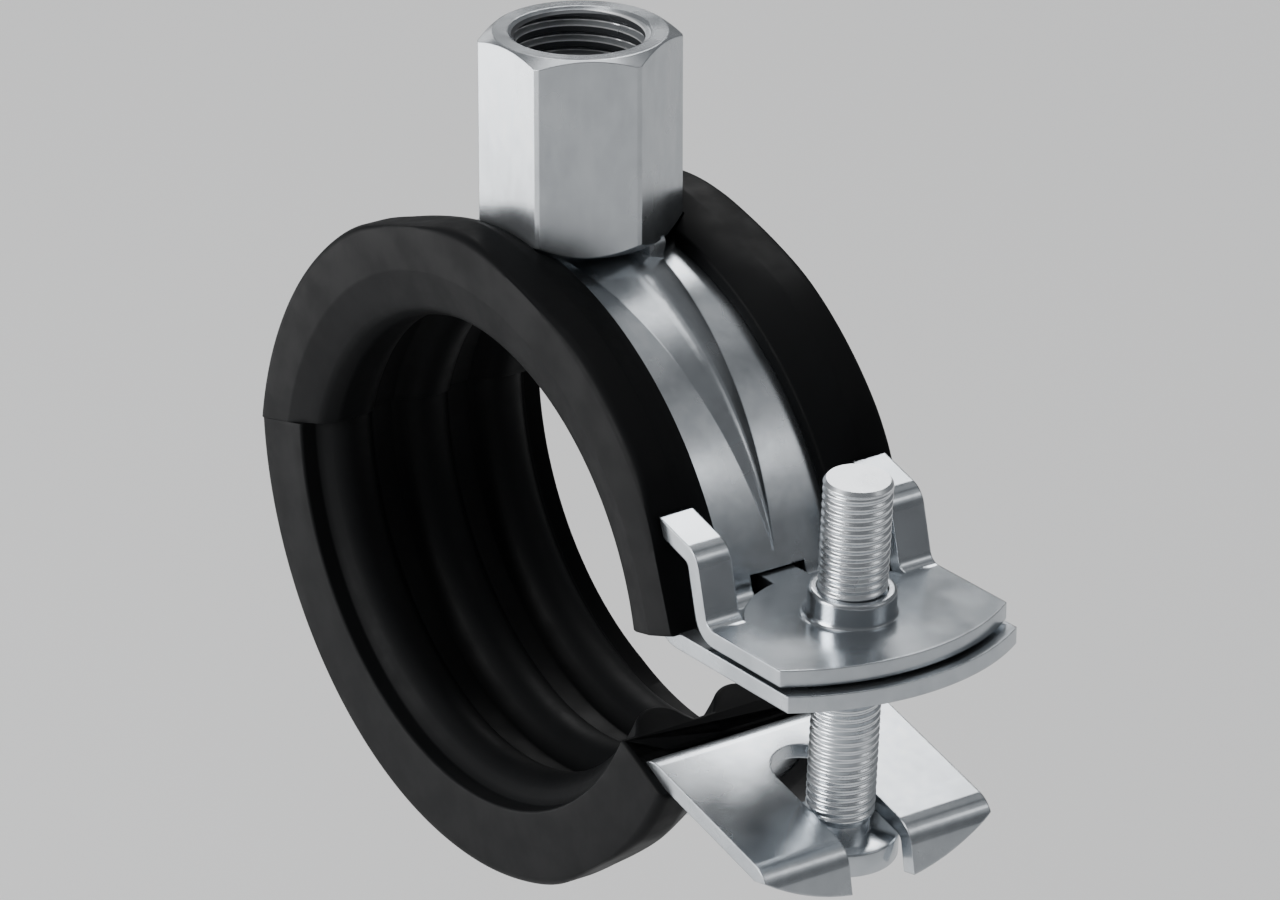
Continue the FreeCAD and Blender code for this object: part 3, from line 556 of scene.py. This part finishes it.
# Threads: a skin whose radius follows a helix
def thread_skin(low, high, pitch, steps, rows_per_turn, radius_at):
    """Points, faces and number of rings of a threaded tube from low to high."""
    rows = int((high - low) / pitch * rows_per_turn) + 1
    points = []
    for height in np.linspace(low, high, rows):
        for i in range(steps):
            angle = 2 * math.pi * i / steps
            radius = radius_at(height, (height / pitch - i / steps) % 1.0)
            points.append((radius * math.cos(angle), radius * math.sin(angle), height))
    return points, tube(rows, steps), rows


def thread_wave(phase):
    """1 on the rounded crest and 0 in the root, with flat flanks between."""
    wave = 1.0 - abs(2.0 * phase - 1.0)
    wave = clamped((wave - 0.14) / 0.68)
    return wave * wave * (3 - 2 * wave) * 0.45 + wave * 0.55


# Locking screw
SCREW_CREST = 2.5
THREAD_PITCH = 0.635
THREAD_DEPTH = 0.17
THREAD_FOOT = -16.2
TIP_CHAMFER = 0.30
TIP_RADIUS = 2.28
NECK_TOP = -15.7
NECK_RADIUS = 2.16


def screw_radius(height, phase):
    fade = clamped((SCREW_TOP - TIP_CHAMFER - height) / 0.30) * clamped((height - THREAD_FOOT) / 0.5)
    radius = SCREW_CREST - THREAD_DEPTH * (1.0 - thread_wave(phase)) * fade
    from_top = SCREW_TOP - height
    if from_top < TIP_CHAMFER:
        radius = min(radius, TIP_RADIUS + (SCREW_CREST - TIP_RADIUS) * from_top / TIP_CHAMFER)
    if height < NECK_TOP:
        radius -= clamped((NECK_TOP - height) / 0.5) * (radius - NECK_RADIUS)
    return radius


def locking_screw():
    steps = 84
    points, faces, rows = thread_skin(HEAD_TOP, SCREW_TOP, THREAD_PITCH, steps, 18, screw_radius)
    head = [(2.35, HEAD_TOP), (HEAD_RADIUS - 0.12, HEAD_TOP), (HEAD_RADIUS - 0.03, HEAD_TOP - 0.04),
            (HEAD_RADIUS, HEAD_TOP - 0.12), (HEAD_RADIUS, HEAD_FOOT + 0.15),
            (HEAD_RADIUS - 0.05, HEAD_FOOT + 0.05), (HEAD_RADIUS - 0.2, HEAD_FOOT)]
    rings = [list(range(steps))] + [add_ring(points, radius, height, steps) for radius, height in head]
    for low, high in zip(rings[1:], rings):
        faces += bridge(low, high, steps)
    faces.append(tuple(reversed(rings[-1])))
    faces.append(lids(rows, steps)[1])
    arm, span = 0.5, 2.0
    cross = [(-span, -arm), (-arm, -arm), (-arm, -span), (arm, -span), (arm, -arm), (span, -arm),
             (span, arm), (arm, arm), (arm, span), (-arm, span), (-arm, arm), (-span, arm)]
    mesh = carved(mesh_of("screw", points, faces), [prism(cross, HEAD_FOOT - 1.0, HEAD_FOOT + 1.1)])
    mesh.transform(Matrix.Translation(SCREW_FOOT * MM) @ Matrix.Rotation(SCREW_LEAN, 4, "Y"))
    return mesh


screw_axis = Matrix.Rotation(SCREW_LEAN, 3, "Y") @ Vector((0.0, 0.0, 1.0))


def on_head_in_painted_shade(centre):
    return (centre - SCREW_FOOT).dot(screw_axis) < HEAD_TOP + 0.01


# The head takes the darker plate zinc as painted shade, for the shade it sits in under the lug
screw = add_piece("screw_with_thread", locking_screw(), screw_zinc, "screw",
                  ("locking_screw",), 50.0)
second_material(screw, plate_zinc, on_head_in_painted_shade)


# Combination nut and its weld projections
BORE_REACH = 5.13
BORE_TOP = NUT_TOP - 0.30
WELD_CIRCLE = 5.35


def tap_depth(phase):
    """0 on the flat crest, 1 in the rounded root of the tapped thread."""
    if phase < TAP_CREST:
        return 0.0
    share = (phase - TAP_CREST) / (1.0 - TAP_CREST)
    return min(1.0, 1.12 * math.sin(math.pi * share))


def bevelled_hexagon(cut):
    corners = [np.array(c) for c in round_corners(NUT_HALF_FLATS / math.cos(math.pi / 6), 6)]
    points = []
    for i, corner in enumerate(corners):
        for other in (corners[i - 1], corners[(i + 1) % 6]):
            step = other - corner
            points.append(tuple(corner + step / np.linalg.norm(step) * cut))
    return points


def connection_nut():
    """Hexagon with turned chamfers at both ends, a stepped bore, and the upper thread tapped into it."""
    face, wide = 6.35, 9.0
    top_slope, foot_slope = math.tan(math.radians(30)), math.tan(math.radians(41))
    turned = lathe([(0.0, NUT_FOOT), (face, NUT_FOOT), (wide, NUT_FOOT + (wide - face) * foot_slope),
                    (wide, NUT_TOP - (wide - face) * top_slope), (face, NUT_TOP), (0.0, NUT_TOP)], 96)
    body = carved(prism(bevelled_hexagon(0.22), NUT_FOOT, NUT_TOP), [turned], "INTERSECT")
    large, small, mouth = 4.7, 3.4, 5.23
    hollow = lathe([(0.0, NUT_TOP + 1.0), (mouth, NUT_TOP + 1.0), (mouth, NUT_TOP), (5.0, NUT_TOP - 0.24),
                    (large, NUT_TOP - 0.40), (large, NUT_SHOULDER), (small, NUT_SHOULDER - 1.3),
                    (small, NUT_FOOT + 0.5), (small + 0.5, NUT_FOOT), (small + 0.5, NUT_FOOT - 1.0),
                    (0.0, NUT_FOOT - 1.0)], 96)
    body = carved(body, [hollow])

    def groove_radius(height, phase):
        fade = clamped((height - NUT_SHOULDER - 0.3) / 0.8)
        return large - 0.08 + 0.50 * tap_depth((phase + TAP_START) % 1.0) * fade

    steps = 96
    points, faces, rows = thread_skin(NUT_SHOULDER + 0.3, NUT_TOP - 0.15, TAP_PITCH, steps, 26, groove_radius)
    return carved(body, [mesh_of("tap", points, faces + lids(rows, steps))])


def in_bore(centre):
    return math.hypot(centre.x, centre.y) < BORE_REACH and NUT_SHOULDER < centre.z < BORE_TOP


nut = add_piece("nut_with_thread", connection_nut(), nut_zinc, "upper_half",
                ("connection_nut",), 28.0)
# The tapped bore takes the material with painted shade and painted highlights
second_material(nut, bore_painted_light, in_bore)


def weld_foot(degrees):
    """A weld projection under the nut, ending in the wall of the band."""
    x, y = (float(v) for v in polar(WELD_CIRCLE, degrees))
    wall = math.sqrt((BAND_OUTER - 0.05) ** 2 - x * x)
    place = Matrix.Translation(Vector((x, y, 0.0))) @ Matrix.Rotation(math.radians(30), 4, "Z")
    return lathe([(0.0, wall - 0.25), (1.30, wall - 0.25), (1.22, wall + 0.12), (1.42, NUT_FOOT - 0.12),
                  (1.30, NUT_FOOT + 0.3), (0.0, NUT_FOOT + 0.3)], 6, place)


for number, degrees in enumerate((30, 150, 270)):
    add_piece(f"weld_projection_{number + 1}", weld_foot(degrees), screw_zinc, "upper_half")

# Sheet metal keeps its CAD shape
for node, material in (("upper_band", sheet_zinc), ("lower_band", sheet_zinc), ("thread_plate", plate_zinc)):
    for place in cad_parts[node].material_slots:
        place.material = material

# Studio floor
FLOOR_SIDE, FLOOR_LEVEL = 3.0, -0.11
floor_mesh = bpy.data.meshes.new("floor")
floor_mesh.from_pydata([(x * FLOOR_SIDE, y * FLOOR_SIDE, FLOOR_LEVEL)
                        for x, y in ((-1, -1), (1, -1), (1, 1), (-1, 1))], [], [(0, 1, 2, 3)])
floor = bpy.data.objects.new("floor", floor_mesh)
bpy.context.scene.collection.objects.link(floor)
floor_paint, _, floor_shader = shader("floor_paint")
floor_shader.inputs["Base Color"].default_value = (0.86, 0.86, 0.86, 1.0)
floor_shader.inputs["Roughness"].default_value = 0.9
floor_mesh.materials.append(floor_paint)

# Soft panels: name, place, height of the point they face, size, and power in watts
PANELS = (
    ("back_panel", (-0.652, 0.569, 0.838), 0.0, (0.44, 0.46), 4.9),
    ("key_panel", (-0.15, -0.93, 0.28), 0.0, (0.45, 0.45), 9.5),
    ("left_card", (-0.30, -0.26, -0.09), 0.02, (0.24, 0.24), 1.0),
    ("top_panel", (-0.03, 0.56, 0.90), 0.0, (0.35, 0.35), 0.10),
    ("high_panel", (-0.12, 0.04, 0.92), 0.0, (0.72, 0.40), 2.0),
    ("front_panel", (0.0, -0.47, 0.85), 0.0, (0.30, 0.20), 0.60),
    ("left_panel", (-1.10, 0.25, 0.32), 0.0, (0.35, 0.30), 0.50),
    ("right_card", (0.63, 0.60, 0.69), 0.0, (0.62, 0.62), 0.42),
    ("right_strip", (0.607, 0.53, 0.59), 0.0, (0.30, 0.13), 0.24),
)
for name, place, aim, size, power in PANELS:
    data = bpy.data.lights.new(name, "AREA")
    data.shape = "RECTANGLE"
    data.size, data.size_y = size
    data.energy = power
    light = bpy.data.objects.new(name, data)
    light.location = place
    light.rotation_euler = (Vector((0.0, 0.0, aim)) - Vector(place)).to_track_quat("-Z", "Y").to_euler()
    light.visible_camera = False
    bpy.context.scene.collection.objects.link(light)

world = bpy.data.worlds.new("studio")
bpy.context.scene.world = world
world.use_nodes = True
sky = world.node_tree.nodes["Background"]
sky.inputs["Color"].default_value = (0.95, 0.97, 1.0, 1.0)
sky.inputs["Strength"].default_value = 0.20

# Camera, solved from the photograph
back = Vector((0.7493, -0.5319, 0.3946)).normalized()
right = Vector((0, 0, 1)).cross(back).normalized()
up = back.cross(right)
camera_data = bpy.data.cameras.new("camera")
camera_data.sensor_width = 36.0
camera_data.sensor_fit = "HORIZONTAL"
camera_data.lens = 200.05
camera_data.clip_start = 0.01
camera_data.clip_end = 20.0
camera = bpy.data.objects.new("camera", camera_data)
camera.matrix_world = (Matrix.Translation(Vector((394.62, -274.87, 215.01)) * MM)
                       @ Matrix((right, up, back)).transposed().to_4x4())
bpy.context.scene.collection.objects.link(camera)
bpy.context.scene.camera = camera
